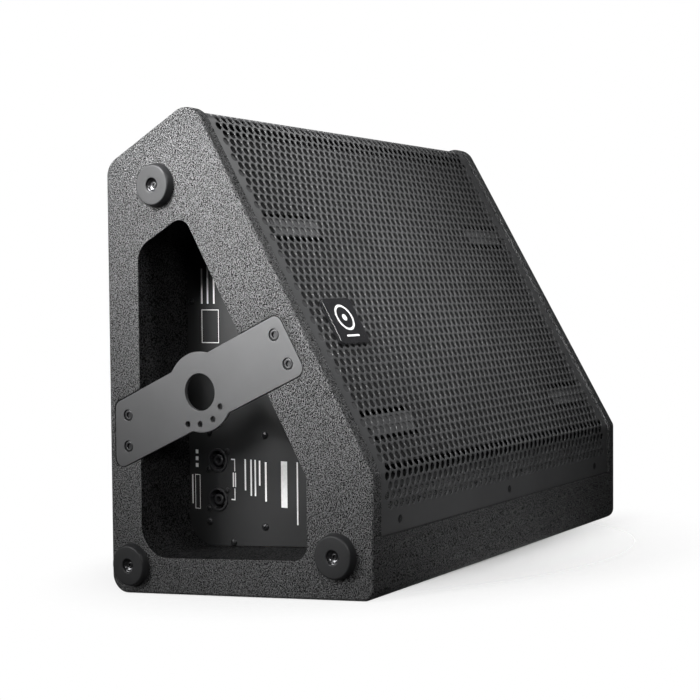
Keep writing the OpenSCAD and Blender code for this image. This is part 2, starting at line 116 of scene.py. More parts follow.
def corner_arc(before, at, after, r, steps):
    """The arc of radius r that rounds the corner at, between before and after."""
    back, on = unit(before - at), unit(after - at)
    half = acos(float(np.clip(back @ on, -1, 1))) / 2
    centre = at + unit(back + on) * r / sin(half)
    start, end = (at + way * r / tan(half) - centre for way in (back, on))
    a0, a1 = atan2(start[1], start[0]), atan2(end[1], end[0])
    sweep = (a1 - a0 + pi) % (2 * pi) - pi
    turns = [a0 + sweep * k / steps for k in range(steps + 1)]
    return [centre + r * np.array((cos(a), sin(a))) for a in turns]


def rounded(points, radii, steps=ARC_STEPS, straight=0):
    """Outline with rounded corners; straight adds that many points along each straight edge."""
    n = len(points)
    arcs = [corner_arc(points[i - 1], points[i], points[(i + 1) % n], radii[i], steps) for i in range(n)]
    made = []
    for i in range(n):
        made += arcs[i]
        a, b = arcs[i][-1], arcs[(i + 1) % n][0]
        made += [a + (b - a) * (k + 1) / (straight + 1) for k in range(straight)]
    return made


def shell(d, straight=0):
    """Outline of the cabinet, inset by d."""
    return rounded(inset(OUTLINE, [d] * 5), [max(r - d, 1) for r in CORNER_R], straight=straight)


def well(d, straight=0):
    """Outline of the connector well, inset by d."""
    corners = inset(OUTLINE, [m + d for m in WELL_MARGIN])
    return rounded(corners, [max(r - d, 2) for r in WELL_R], straight=straight)


_reach = [p[0] * cos(LEAN) - p[1] * sin(LEAN) for p in rounded(OUTLINE, CORNER_R, steps=6)]
X_SHIFT = (FOOT_H - CAB_LEN) / 2
Y_SHIFT = -(min(_reach) + max(_reach)) / 2


def place(x, y, z):
    """A point of the cabinet's own frame, in millimetres, as metres in the row frame."""
    return Vector(((x + X_SHIFT), y * cos(LEAN) - z * sin(LEAN) + Y_SHIFT,
                   y * sin(LEAN) + z * cos(LEAN))) / 1000


def on_side(depth, at=(0.0, 0.0)):
    """Maps (a, b, height) to a point of the left side: a along y, b up z, height into the cabinet."""
    return lambda a, b, h: place(depth + h, at[0] + a, at[1] + b)


def on_slope(x, up, out=0.0):
    """Maps (a, b, height) to a point of the slope: a along x, b up the slope, height out of it."""
    def to(a, b, h):
        p = AXIS_POINT + SLOPE_UP * (up + b) + SLOPE_OUT * (out + h)
        return place(x + a, p[0], p[1])
    return to


def on_face(origin, along, up, out):
    """Maps (a, b, height) through three directions of the cabinet's own frame."""
    o, u, v, w = (np.array(q, float) for q in (origin, along, up, out))
    return lambda a, b, h: place(*(o + u * a + v * b + w * h))


# ---- mesh building ----
def add_object(name, data):
    obj = bpy.data.objects.new(name, data)
    bpy.context.scene.collection.objects.link(obj)
    return obj


class Build:
    """Collects points and faces, and turns them into one smooth-shaded piece."""

    def __init__(self):
        self.points, self.faces = [], []

    def ring(self, points):
        start = len(self.points)
        self.points += points
        return list(range(start, start + len(points)))

    def bridge(self, a, b):
        for i in range(len(a)):
            j = (i + 1) % len(a)
            self.faces.append((a[i], a[j], b[j], b[i]))

    def loft(self, rings, capped=False):
        made = [self.ring(r) for r in rings]
        for a, b in zip(made, made[1:]):
            self.bridge(a, b)
        if capped:
            self.faces += [tuple(made[0]), tuple(reversed(made[-1]))]
        return made

    def finish(self, name, material, slot, body="cabinet", replaces=(), angle=40, weighted=True):
        mesh = bpy.data.meshes.new(name)
        mesh.from_pydata([tuple(p) for p in self.points], [], self.faces)
        mesh.validate()
        obj = add_object(name, mesh)
        bm = bmesh.new()
        bm.from_mesh(mesh)
        bmesh.ops.remove_doubles(bm, verts=bm.verts, dist=1e-7)
        bmesh.ops.recalc_face_normals(bm, faces=bm.faces)
        bm.to_mesh(mesh)
        bm.free()
        mesh.shade_smooth()
        mesh.set_sharp_from_angle(angle=radians(angle))
        mesh.materials.append(material)
        if weighted:
            obj.modifiers.new("weighted", "WEIGHTED_NORMAL").keep_sharp = True
        if body:
            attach(obj, body)
        if replaces:
            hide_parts(*replaces)
        return obj


def circle(r, n=32, at=(0.0, 0.0)):
    return [(at[0] + r * cos(2 * pi * k / n), at[1] + r * sin(2 * pi * k / n)) for k in range(n)]


def polar(kind, r, n, turn=0.0):
    """A ring of n points: round, a six-sided socket or a cross recess, of outer radius r."""
    made = []
    for k in range(n):
        a = 2 * pi * k / n
        if kind == "hex":
            q = r * cos(pi / 6) / cos((a + pi / 6) % (pi / 3) - pi / 6)
        elif kind == "cross":
            q = r * (0.3 + 0.7 * max(0.0, cos(4 * a)) ** 0.8)
        else:
            q = r
        made.append((q * cos(a + turn), q * sin(a + turn)))
    return made


def turned(build, to, profile, n=48, turn=0.0, ends="capped"):
    """A turned part: profile rows are (radius, height) or (radius, height, kind).
    Its ends are capped, joined to each other round the back, or left open on a shank."""
    rings = [[to(a, b, row[1]) for a, b in polar(row[2] if len(row) > 2 else "round", row[0], n, turn)]
             for row in profile]
    made = build.loft(rings, ends == "capped")
    if ends == "joined":
        build.bridge(made[-1], made[0])


def grown(loop, d):
    """loop moved by d along its own inward normals (anticlockwise outline, clockwise holes)."""
    n, made = len(loop), []
    for i in range(n):
        p, q, r = (np.array(loop[k % n]) for k in (i - 1, i, i + 1))
        e0, e1 = unit(q - p), unit(r - q)
        n0, n1 = np.array((-e0[1], e0[0])), np.array((-e1[1], e1[0]))
        m = unit(n0 + n1)
        made.append(tuple(q + m * d / max(0.3, float(m @ n0))))
    return made


def signed_area(loop):
    return sum(cross2(loop[i - 1], loop[i]) for i in range(len(loop))) / 2


def plate(build, to, outer, holes, low, high, bevel=0.4, steps=3, low_bevel=0.0):
    """A flat plate with holes, from height low to high, its rims rounded by bevel at high."""
    outer = list(outer) if signed_area(outer) > 0 else list(reversed(outer))
    holes = [list(h) if signed_area(h) < 0 else list(reversed(h)) for h in holes]
    sign = 1 if high > low else -1
    ends = {}
    for loop_index, loop in enumerate([outer] + holes):
        rows = [(low_bevel, low), (0.0, low + sign * low_bevel)] if low_bevel else [(0.0, low)]
        for k in range(steps + 1):
            a = pi / 2 * k / steps
            rows.append((bevel * (1 - cos(a)), high - sign * bevel * (1 - sin(a))))
        flat = [grown(loop, d) if d else loop for d, h in rows]
        made = build.loft([[to(p[0], p[1], h) for p in pts] for pts, (d, h) in zip(flat, rows)])
        ends[loop_index] = (made[0], flat[0], made[-1], flat[-1])
    for side in (0, 1):
        loops = [ends[k][1 + 2 * side] for k in range(len(ends))]
        index = [v for k in range(len(ends)) for v in ends[k][2 * side]]
        for tri in tessellate_polygon([[Vector((p[0], p[1], 0)) for p in loop] for loop in loops]):
            build.faces.append(tuple(index[v] for v in tri))


# ---- materials ----
SPECK_LOW, SPECK_HIGH = 0.41, 0.63
SPECK_GLOSS = 0.5


def set_inputs(node, **values):
    """Sets inputs of a shader node; _ in an input's name stands for a space."""
    for name, value in values.items():
        node.inputs[name.replace("_", " ")].default_value = value
    return node


def add_node(tree, kind, **values):
    return set_inputs(tree.nodes.new("ShaderNode" + kind), **values)


def material(name, base, rough=0.5, metallic=0.0, grain=(900.0, 0.1, 0.0003), tone=(12.0, 0.15),
             rough_tone=0.08, coat=0.0, sheen=0.0, second=None, spec=0.5, speck=None):
    """A procedural finish: slow tone changes, uneven roughness, and one or two grains of bump.
    tone is (scale, share of change), grain and second are (scale, strength, height in metres, kind),
    and speck is (scale, darkest, lightest) for grains that also differ in colour and gloss."""
    m = bpy.data.materials.new(name)
    m.use_nodes = True
    nt = m.node_tree
    link = nt.links.new
    bsdf = nt.nodes["Principled BSDF"]
    coord = add_node(nt, "TexCoord")

    def noise(scale, detail=3.0, roughness=0.55):
        t = add_node(nt, "TexNoise", Scale=scale, Detail=detail, Roughness=roughness)
        link(coord.outputs["Object"], t.inputs["Vector"])
        return t.outputs["Fac"]

    ramp = add_node(nt, "ValToRGB")
    ramp.color_ramp.elements[0].position, ramp.color_ramp.elements[1].position = 0.3, 0.7
    for e, k in zip(ramp.color_ramp.elements, (1 - tone[1], 1 + tone[1])):
        e.color = (*[min(1.0, c * k) for c in base], 1)
    link(noise(tone[0], 4.0), ramp.inputs["Fac"])
    colour = ramp.outputs["Color"]
    set_inputs(bsdf, Metallic=metallic, Coat_Weight=coat, Coat_Roughness=0.12, Sheen_Weight=sheen,
               Specular_IOR_Level=spec)
    if speck:
        fine = add_node(nt, "MapRange", From_Min=SPECK_LOW, From_Max=SPECK_HIGH, To_Min=speck[1], To_Max=speck[2])
        link(noise(speck[0], 2.0, 0.7), fine.inputs["Value"])
        scale = add_node(nt, "VectorMath")
        scale.operation = "SCALE"
        link(colour, scale.inputs[0])
        link(fine.outputs["Result"], scale.inputs["Scale"])
        colour = scale.outputs["Vector"]
        gloss = add_node(nt, "Math")
        gloss.operation = "MULTIPLY"
        gloss.inputs[1].default_value = SPECK_GLOSS * spec
        link(fine.outputs["Result"], gloss.inputs[0])
        link(gloss.outputs["Value"], bsdf.inputs["Specular IOR Level"])
    link(colour, bsdf.inputs["Base Color"])
    spread = add_node(nt, "MapRange", To_Min=max(0.03, rough - rough_tone), To_Max=min(1.0, rough + rough_tone))
    link(noise(tone[0] * 6), spread.inputs["Value"])
    link(spread.outputs["Result"], bsdf.inputs["Roughness"])
    normal = None
    for g in (grain, second):
        if not g:
            continue
        if "cells" in g:
            t = add_node(nt, "TexVoronoi")
            t.feature = "SMOOTH_F1"
            set_inputs(t, Scale=g[0], Smoothness=0.6)
            link(coord.outputs["Object"], t.inputs["Vector"])
            height = t.outputs["Distance"]
        else:
            height = noise(g[0])
        bump = add_node(nt, "Bump", Strength=g[1], Distance=g[2])
        link(height, bump.inputs["Height"])
        if normal:
            link(normal, bump.inputs["Normal"])
        normal = bump.outputs["Normal"]
    link(normal, bsdf.inputs["Normal"])
    return m


def wood(name, pale, dark):
    """Birch plywood: long wavy grain and fine pores."""
    m = material(name, pale, 0.6, grain=(600.0, 0.25, 0.0002))
    nt = m.node_tree
    link = nt.links.new
    stretch = add_node(nt, "Mapping", Scale=(2.0, 30.0, 30.0))
    wave = add_node(nt, "TexWave", Scale=3.0, Distortion=5.0, Detail=3.0)
    ramp = add_node(nt, "ValToRGB")
    ramp.color_ramp.elements[0].color = (*pale, 1)
    ramp.color_ramp.elements[1].color = (*dark, 1)
    link(nt.nodes["Texture Coordinate"].outputs["Object"], stretch.inputs["Vector"])
    link(stretch.outputs["Vector"], wave.inputs["Vector"])
    link(wave.outputs["Fac"], ramp.inputs["Fac"])
    link(ramp.outputs["Color"], nt.nodes["Principled BSDF"].inputs["Base Color"])
    return m


PAINT = material("textured_paint", (0.018, 0.0181, 0.0185), 0.44, grain=(760.0, 1.0, 0.0014),
                 second=(1100.0, 0.8, 0.0006), tone=(9.0, 0.10), rough_tone=0.06, speck=(900.0, 0.0, 4.6))
# A darker copy of the textured paint: painted shade for the well's lining and the wall of its mouth.
WELL_SHADE_PAINT = material("painted_shade_textured_paint", (0.009, 0.0091, 0.0094), 0.5, grain=(560.0, 1.0, 0.0014), spec=0.25,
                      tone=(9.0, 0.10), rough_tone=0.06, speck=(620.0, 0.1, 2.5))
GRILLE_COAT = material("grille_powder_coat", (0.046, 0.0464, 0.0475), 0.34, grain=(2600.0, 0.18, 0.00008),
                       tone=(14.0, 0.12), rough_tone=0.06)
SATIN = material("satin_black_steel", (0.031, 0.0313, 0.0325), 0.42, grain=(3000.0, 0.12, 0.00006),
                 second=(60.0, 0.05, 0.0002), tone=(25.0, 0.1))
PLATE_COAT = material("terminal_plate_coat", (0.012, 0.0122, 0.0126), 0.5, spec=0.35,
                      grain=(2200.0, 0.15, 0.00008), tone=(20.0, 0.12))
RUBBER = material("moulded_rubber", (0.015, 0.0152, 0.016), 0.48, spec=0.3, grain=(1800.0, 0.2, 0.00008),
                  tone=(40.0, 0.15))
BLACK_SCREW = material("black_oxide", (0.016, 0.016, 0.017), 0.34, metallic=0.4, spec=0.4,
                       grain=(3000.0, 0.1, 0.00004), tone=(200.0, 0.2))
DULL_ZINC = material("dull_zinc", (0.11, 0.11, 0.114), 0.3, metallic=1.0, grain=(2500.0, 0.15, 0.00004),
                     tone=(150.0, 0.12))
ZINC = material("bright_zinc", (0.72, 0.72, 0.73), 0.24, metallic=1.0, grain=(2500.0, 0.15, 0.00004),
                tone=(150.0, 0.12))
PLASTIC = material("moulded_plastic", (0.012, 0.012, 0.013), 0.42, grain=(2800.0, 0.2, 0.00005), tone=(60.0, 0.15))
GLOSS = material("badge_gloss", (0.014, 0.014, 0.015), 0.26, grain=(1500.0, 0.03, 0.00003), tone=(80.0, 0.2),
                 coat=0.5, rough_tone=0.04)
PRINT = material("screen_print", (0.66, 0.66, 0.655), 0.55, grain=(2500.0, 0.15, 0.00003), tone=(300.0, 0.08))
PAINTED_WOOD = material("black_stained_wood", (0.03, 0.03, 0.031), 0.6, grain=(500.0, 0.4, 0.0003),
                        tone=(20.0, 0.3))
BARE_WOOD = wood("birch_plywood", (0.62, 0.47, 0.30), (0.50, 0.35, 0.20))
FOAM = material("acoustic_foam", (0.007, 0.007, 0.0073), 0.95, grain=(750.0, 1.0, 0.0012, "cells"),
                second=(1700.0, 0.7, 0.0005), tone=(250.0, 0.6), spec=0.2)
WADDING = material("polyester_wadding", (0.62, 0.62, 0.60), 0.95, grain=(300.0, 0.9, 0.002), sheen=0.3,
                   second=(1400.0, 0.6, 0.0006), tone=(40.0, 0.12), spec=0.2)
CLOTH = material("doped_cloth", (0.10, 0.075, 0.05), 0.7, grain=(1500.0, 0.6, 0.0003, "cells"), tone=(60.0, 0.2))
PAPER = material("pressed_pulp", (0.028, 0.028, 0.029), 0.75, grain=(700.0, 0.5, 0.0004), tone=(50.0, 0.25),
                 second=(2200.0, 0.4, 0.0002))
COPPER = material("enamelled_copper", (0.72, 0.33, 0.14), 0.28, metallic=1.0, grain=(1400.0, 0.5, 0.0002),
                  tone=(100.0, 0.15))
FERRITE = material("sintered_ferrite", (0.055, 0.055, 0.058), 0.55, grain=(900.0, 0.4, 0.0002), tone=(60.0, 0.2))
BOARD = material("circuit_board", (0.03, 0.13, 0.055), 0.4, grain=(1100.0, 0.15, 0.0001), tone=(90.0, 0.25))
FILM = material("film_capacitor", (0.66, 0.58, 0.30), 0.35, grain=(900.0, 0.1, 0.0001), tone=(70.0, 0.1))
WIRE_RED = material("pvc_red", (0.34, 0.02, 0.018), 0.4, grain=(1500.0, 0.1, 0.0001), tone=(50.0, 0.1))
WIRE_DARK = material("pvc_dark", (0.02, 0.02, 0.024), 0.4, grain=(1500.0, 0.1, 0.0001), tone=(50.0, 0.1))

for finish, nodes in (
        (BARE_WOOD, "well_back inner_brace"), (PAINTED_WOOD, "baffle grille_blocks side_battens"),
        (ZINC, "badge_clip bracket_nuts crossover_screws crossover_spacers woofer_screws woofer_top_plate"
               " woofer_back_plate"), (COPPER, "crossover_coils voice_coil"), (BOARD, "crossover_board"),
        (FILM, "crossover_capacitors"), (SATIN, "woofer_basket"), (RUBBER, "woofer_gasket"),
        (PAPER, "woofer_cone dust_cap"), (FERRITE, "woofer_magnet compression_driver"),
        (PLASTIC, "horn_flare driver_cover port_tubes"), (BLACK_SCREW, "horn_screws"),
        (WIRE_RED, "woofer_leads"), (WIRE_DARK, "horn_leads")):
    for node in nodes.split():
        mesh = NODES[node].data
        mesh.materials.clear()
        mesh.materials.append(finish)
        for face in mesh.polygons:
            face.material_index = 0

# ---- painted cabinet ----
ARRIS, MOUTH_ARRIS = 3.0, 1.0
LEAST_ARRIS, GRILLE_SIDE_ARRIS = 0.02, 1.2
DEEP = 2.0  # a second outline this far in gives the direction of the inner arris
STRAIGHT = 12
EASE, CREASE = 0.8, 0.25
SEAT = GRILLE_RECESS + GRILLE_T + 0.1
RAIL_H = 95.0


def section(d, x, outline):
    """The shell or the well, inset by d, as a ring of points at x."""
    return [place(x, *p) for p in outline(d, STRAIGHT)]


def arris(r, steps):
    """Rows (depth from the face, inset) of a quarter round of radius r, from the face in."""
    turns = [pi / 2 * k / steps for k in range(steps + 1)]
    return [(r * (1 - cos(a)), r * (1 - sin(a))) for a in turns]


def grille_share(p):
    """1 where an edge of the side panels stands beside the grille, 0 where a panel is flush."""
    along = float((p - APEX) @ DOWN)
    if p[0] > APEX[0]:
        return float(np.clip((GRILLE_WRAP - along) / 3, 0, 1))
    return float(np.clip((p[1] - GRILLE_LOW + 1) / 3, 0, 1))


def side_panel(mouth):
    """One end panel: outer arris, an inner arris only beside the grille, and the left one's well."""
    build = Build()
    face_at = (lambda t: t) if mouth else (lambda t: CAB_LEN - t)
    base, deep = shell(0.0, STRAIGHT), shell(DEEP, STRAIGHT)
    inner_r = [LEAST_ARRIS + GRILLE_SIDE_ARRIS * grille_share(p) for p in base]
    rings = []
    for k in range(4):
        a = pi / 2 * k / 3
        ring = []
        for p, q, r in zip(base, deep, inner_r):
            pt = p + (q - p) * (r * (1 - sin(a))) / DEEP
            ring.append(place(face_at(PLY - r * (1 - cos(a))), *pt))
        rings.append(ring)
    for depth, d in reversed(arris(ARRIS, 6)):
        rings.append(section(d, face_at(depth), shell))
    if mouth:
        for depth, d in arris(MOUTH_ARRIS, 4):
            rings.append(section(-d, face_at(depth), well))
        rings.append(section(0.0, face_at(PLY), well))
    made = build.loft(rings, not mouth)
    if mouth:
        build.bridge(made[-1], made[0])
    return build


def prism(name, outline, replaces):
    """A painted panel of this outline, from one side panel to the other."""
    build = Build()
    build.loft([[place(x, *p) for p in outline] for x in (PLY, CAB_LEN - PLY)], True)
    return build.finish(name, PAINT, "painted_wood", replaces=replaces)


def edge_run(i, d=0.0):
    """Outline points from the middle of corner i to the middle of the next."""
    pts = shell(d)
    a, b = (c * (ARC_STEPS + 1) + ARC_STEPS // 2 for c in (i, (i + 1) % 5))
    return pts[a:b + 1] if b > a else pts[a:] + pts[:b + 1]


INNER = inset(OUTLINE, [PLY] * 5)
prism("rear_board", edge_run(1) + [INNER[2], INNER[1]], ["rear_panel"])
prism("base_board", edge_run(2) + [INNER[3], INNER[2]], ["bottom_panel"])


def rail_section():
    """The front rail: flush below the grille, set back to its seat behind the grille."""
    run = [p for p in edge_run(3) if p[1] < GRILLE_LOW - 2]
    top = GRILLE_LOW - 0.5
    y = FRONT_LOW[0]
    rail_top = FRONT_LOW[1] + RAIL_H
    step = ((y, top - EASE), (y + CREASE, top - CREASE), (y + EASE, top), (y + SEAT, top),
            (y + SEAT, rail_top), (y + PLY, rail_top))
    return run + [np.array(q) for q in step] + [INNER[3]]


def upper_section():
    """The upper rear panel: seated under the grille's fold, flush beyond it."""
    inward = turn_in(DOWN)
    start = APEX + DOWN * (GRILLE_WRAP + 1)
    outer = [p for p in edge_run(0) if (p - start) @ DOWN > 1.5]
    seat = [p for p in edge_run(0, SEAT) if (p - start) @ DOWN < -0.5]
    return seat + [start + inward * SEAT, start + inward * EASE, start + inward * CREASE + DOWN * CREASE,
                   start + DOWN * EASE] + outer + [INNER[1], INNER[0]]


prism("front_board", rail_section(), ["front_rail"])
prism("upper_rear_board", upper_section(), ["upper_rear_panel"])
side_panel(False).finish("right_side_board", PAINT, "painted_wood", replaces=["side_panel_right"])
left = side_panel(True).finish("left_side_board", PAINT, "painted_wood", replaces=["side_panel_left"])


def paint_mouth_shade(obj):
    """The wall of the well's mouth takes the well's darker, duller paint as painted shade."""
    obj.data.materials.append(WELL_SHADE_PAINT)
    sides = [(OUTLINE[i], unit(OUTLINE[(i + 1) % 5] - OUTLINE[i])) for i in range(5)]
    for face in obj.data.polygons:
        if abs(face.normal.x) > 0.6:
            continue
        y, z = face.center.y * 1000 - Y_SHIFT, face.center.z * 1000
        at = np.array((y * cos(LEAN) + z * sin(LEAN), z * cos(LEAN) - y * sin(LEAN)))
        room = [abs(cross2(run, at - start)) - m for (start, run), m in zip(sides, WELL_MARGIN)]
        if min(room) > -3:
            face.material_index = 1


paint_mouth_shade(left)

# ---- pole bracket and the pocket that it lies in ----
ALONG = np.array((-cos(BRACKET_ANGLE), sin(BRACKET_ANGLE)))
ACROSS = turn_in(ALONG)
BRACKET_W, BOSS_R, POLE_R = 62.0, 39.0, 18.0
BRACKET_T, BRACKET_STEP, SINK = 4.0, 2.6, 0.3
BRACKET_CORNER_R, BOSS_FILLET, POCKET_GAP = 9.0, 5.0, 1.0
TILT_R, HEAD_R, SHANK_R = 3.0, 5.7, 3.2
SLOPE_END_IN, REAR_END_IN = 16.5, 7.5
BRACKET_SCREWS = ((-24.0, 149.0), (-24.0, 180.0), (-218.5, 235.3), (-203.0, 262.0))
TILT_HOLES = ((-24.5, -13.1), (-15.7, -25.4), (0.0, -31.0), (15.0, -31.6))


def boss_bulge(half, r, fillet):
    """The boss where it bulges out of a long edge, eased in by a fillet at each end."""
    centre = np.array((-sqrt((r + fillet) ** 2 - (half + fillet) ** 2), half + fillet))
    a0, a1 = -pi / 2, atan2(-centre[1], -centre[0])
    b0 = atan2(centre[1], centre[0])
    b1 = pi - b0
    ease = [a0 + (a1 - a0) * j / 4 for j in range(5)]
    bulge = [centre + fillet * np.array((cos(a), sin(a))) for a in ease]
    bulge += [r * np.array((cos(a), sin(a))) for a in (b0 + (b1 - b0) * j / 24 for j in range(1, 24))]
    return bulge + [np.array((-q[0], q[1])) for q in reversed(bulge[:5])]


def bracket_outline(gap):
    """Outline of the band with its round boss, relative to the pole hole; gap grows it."""
    pole = np.array(POLE_AT)
    half = BRACKET_W / 2 + gap
    side = ACROSS * half
    slope_end = APEX - SLOPE_OUT * (SLOPE_END_IN - gap)
    rear_end = np.array((gap - REAR_END_IN, 0.0))
    up = np.array((0.0, 1.0))
    corners = [meet(pole + side, ALONG, rear_end, up), meet(pole - side, ALONG, rear_end, up),
               meet(pole - side, ALONG, slope_end, SLOPE_UP), meet(pole + side, ALONG, slope_end, SLOPE_UP)]
    band = rounded(corners, [BRACKET_CORNER_R + gap] * 4, steps=8)
    half_way = len(band) // 2
    bulge = boss_bulge(half, BOSS_R + gap, BOSS_FILLET)
    made = band[:half_way] + [pole + ALONG * q[0] - ACROSS * q[1] for q in bulge]
    made += band[half_way:] + [pole - ALONG * q[0] + ACROSS * q[1] for q in bulge]
    return [tuple(p - pole) for p in made]


side_at_pole = on_side(0.0, POLE_AT)
pocket = Build()
pocket.loft([[side_at_pole(*p, h) for p in bracket_outline(POCKET_GAP)] for h in (-3.0, BRACKET_T + SINK)], True)
cutter = pocket.finish("pocket_cutter", PAINT, None, weighted=False)  # deleted once it has cut
cut = left.modifiers.new("pocket", "BOOLEAN")
cut.operation, cut.solver, cut.object = "DIFFERENCE", "EXACT", cutter
bpy.context.view_layer.update()
carved = bpy.data.meshes.new_from_object(left.evaluated_get(bpy.context.evaluated_depsgraph_get()))
left.modifiers.remove(cut)
left.data = carved
bpy.data.objects.remove(cutter)

bracket = Build()


def bracket_layer(screw_r, low, high, **rims):
    """The bracket between two depths, with screw holes of radius screw_r."""
    holes = [circle(POLE_R, 72)] + [circle(TILT_R, 24, h) for h in TILT_HOLES]
    holes += [circle(screw_r, 32, (h[0] - POLE_AT[0], h[1] - POLE_AT[1])) for h in BRACKET_SCREWS]
    plate(bracket, on_side(SINK, POLE_AT), bracket_outline(0.0), holes, low, high, **rims)


bracket_layer(HEAD_R, BRACKET_STEP, 0.0, bevel=0.45)
bracket_layer(SHANK_R, BRACKET_T, BRACKET_STEP, bevel=0.001, steps=1, low_bevel=0.4)
bracket.finish("pole_bracket_plate", SATIN, "black_steel", replaces=["pole_bracket"], angle=35)

socket_heads = Build()
for at in BRACKET_SCREWS:
    turned(socket_heads, on_side(SINK, at), [
        (0.001, 2.35), (2.9, 2.35, "hex"), (2.9, 1.0, "hex"), (3.3, 0.85), (4.6, 0.85), (5.1, 1.15), (5.2, 1.6),
        (5.2, 2.55), (3.0, 2.58), (3.0, 13.5)], n=36, turn=0.4)
socket_heads.finish("bracket_socket_screws", BLACK_SCREW, "black_screw", replaces=["bracket_screws"])

# ---- feet ----
FOOT_AT = ((-65.0, 406.0), (-27.5, 31.0), (-271.0, 62.0))
feet, washers, foot_screws = Build(), Build(), Build()
for k, at in enumerate(FOOT_AT):
    to = on_side(-FOOT_H, at)
    turned(feet, to, [
        (2.6, 8.0), (2.6, 4.6), (6.5, 4.6), (6.5, 1.0), (6.7, 0.45), (7.2, 0.12), (7.9, 0.0), (14.5, 0.0),
        (18.4, 0.0), (18.9, 0.12), (19.4, 0.45), (19.8, 0.95), (20.2, 1.8), (20.6, 3.2), (21.0, 5.4),
        (21.2, 7.2), (21.5, 7.7), (21.5, 8.0)], n=72, ends="joined")
    turned(washers, to, [(3.2, 4.55), (3.2, 4.35), (4.2, 4.1), (5.0, 3.6), (5.6, 2.9), (5.9, 2.2), (6.3, 2.0),
                         (6.3, 4.55)], ends="joined")
    turned(foot_screws, to, [(0.001, 5.0), (1.7, 5.0, "hex"), (1.7, 3.95, "hex"), (2.0, 3.8), (2.7, 3.85),
                             (3.1, 4.2), (3.1, 4.6), (2.2, 6.5), (2.2, 19.0)], turn=0.5 * k + 0.3)
feet.finish("rubber_feet", RUBBER, "rubber", replaces=["feet"])
washers.finish("cup_washers", DULL_ZINC, "zinc", replaces=["foot_washers"])
foot_screws.finish("foot_pan_screws", BLACK_SCREW, "black_screw", replaces=["foot_screws"])

# ---- connector well ----
WELL_WALL, WELL_MID = 9.0, 45.0
NUT_DEPTH = 104.6
well_ring = Build()
rings = [section(-WELL_WALL, x, well) for x in (PLY, WELL_DEPTH + PLATE_T)]
rings += [section(0.0, x, well) for x in (WELL_DEPTH + PLATE_T, WELL_DEPTH, WELL_MID, PLY)]
made = well_ring.loft(rings)
well_ring.bridge(made[-1], made[0])
# The lining takes the darker paint as painted shade inside the well.
well_ring.finish("well_lining", WELL_SHADE_PAINT, "painted_wood", replaces=["well_walls"])

SOCKET_AT = ((-78.0, 130.5), (-78.0, 90.5))
BOARD_SCREWS = ((-67.0, 67.0), (-137.0, 67.0), (-137.0, 159.0), (-67.0, 159.0))
PLATE_SCREWS = ((-46.0, 292.0), (-46.0, 180.0), (-97.0, 48.0), (-190.0, 58.5), (-232.0, 95.0), (-205.0, 176.0),
                (-157.0, 258.0))
EARS = ((12.0, -9.5), (-12.0, 9.5))
terminal = Build()
holes = [circle(12.2, 48, at) for at in SOCKET_AT] + [circle(2.1, 16, at) for at in BOARD_SCREWS + PLATE_SCREWS]
holes += [circle(1.7, 12, (at[0] + ear[0], at[1] + ear[1])) for at in SOCKET_AT for ear in EARS]
plate(terminal, on_side(WELL_DEPTH), [tuple(p) for p in well(0.4)], holes, PLATE_T, 0.0, bevel=0.3, steps=2)
terminal.finish("terminal_plate_sheet", PLATE_COAT, "black_steel", replaces=["terminal_plate"])


def dome_head(build, to, r=3.8, h=2.2, n=36, turn=0.0, shank=1.9, length=12.0):
    """A cross-headed screw with a domed head of radius r and height h."""
    rows = [(0.001, -h * 0.45), (r * 0.22, -h * 0.5, "cross"), (r * 0.55, -h * 0.97, "cross")]
    rows += [(r * cos(a), -h * (0.12 + 0.88 * sin(a))) for a in map(radians, (52, 40, 28, 16, 5, 0))]
    rows += [(r * 0.98, 0.0), (shank, 0.0), (shank, length)]
    turned(build, to, rows, n=n, turn=turn)


plate_screws = Build()
for k, at in enumerate(PLATE_SCREWS):
    dome_head(plate_screws, on_side(WELL_DEPTH, at), turn=0.7 * k)
plate_screws.finish("plate_dome_screws", BLACK_SCREW, "black_screw", replaces=["terminal_screws"])
board_screws = Build()
for k, at in enumerate(BOARD_SCREWS):
    dome_head(board_screws, on_side(WELL_DEPTH, at), turn=0.5 * k + 0.2, length=33.0)
    turned(board_screws, on_side(NUT_DEPTH, at), [(1.9, 0.0), (3.6, 0.0, "hex"), (3.6, 2.6, "hex"), (1.9, 2.6)],
           n=36, ends="open")
board_screws.finish("board_dome_screws", BLACK_SCREW, "black_screw", replaces=["crossover_screws"])

sockets, socket_screws = Build(), Build()
for at in SOCKET_AT:
    to = on_side(WELL_DEPTH - 1.5, at)
    turned(sockets, to, [
        (0.001, 14.0), (2.9, 14.0), (2.9, 2.0), (3.1, 1.7), (5.3, 1.7), (5.6, 2.0), (5.6, 14.0), (9.6, 14.0),
        (9.6, 0.6), (9.9, 0.1), (10.3, 0.0), (11.6, 0.0), (12.0, 0.3), (12.0, 3.5), (12.0, 24.0)], n=64)
    for quarter in range(4):
        a = 0.35 + quarter * pi / 2
        c, s = cos(a), sin(a)
        rail = [(c * r - s * w, s * r + c * w) for r, w in ((8.0, -1.2), (9.8, -1.2), (9.8, 1.2), (8.0, 1.2))]
        plate(sockets, to, rail, [], 13.0, 1.2, bevel=0.2, steps=2)
    for ear in EARS:
        plate(sockets, to, circle(3.4, 20, ear), [], 1.5, 0.7, bevel=0.3, steps=2)
        dome_head(socket_screws, on_side(WELL_DEPTH - 0.8, (at[0] + ear[0], at[1] + ear[1])), 2.6, 1.2, n=24,
                  shank=1.45, length=8.0)
sockets.finish("loudspeaker_sockets", PLASTIC, "black_plastic", replaces=["speaker_sockets"])
socket_screws.finish("socket_dome_screws", BLACK_SCREW, "black_screw", replaces=["socket_screws"])

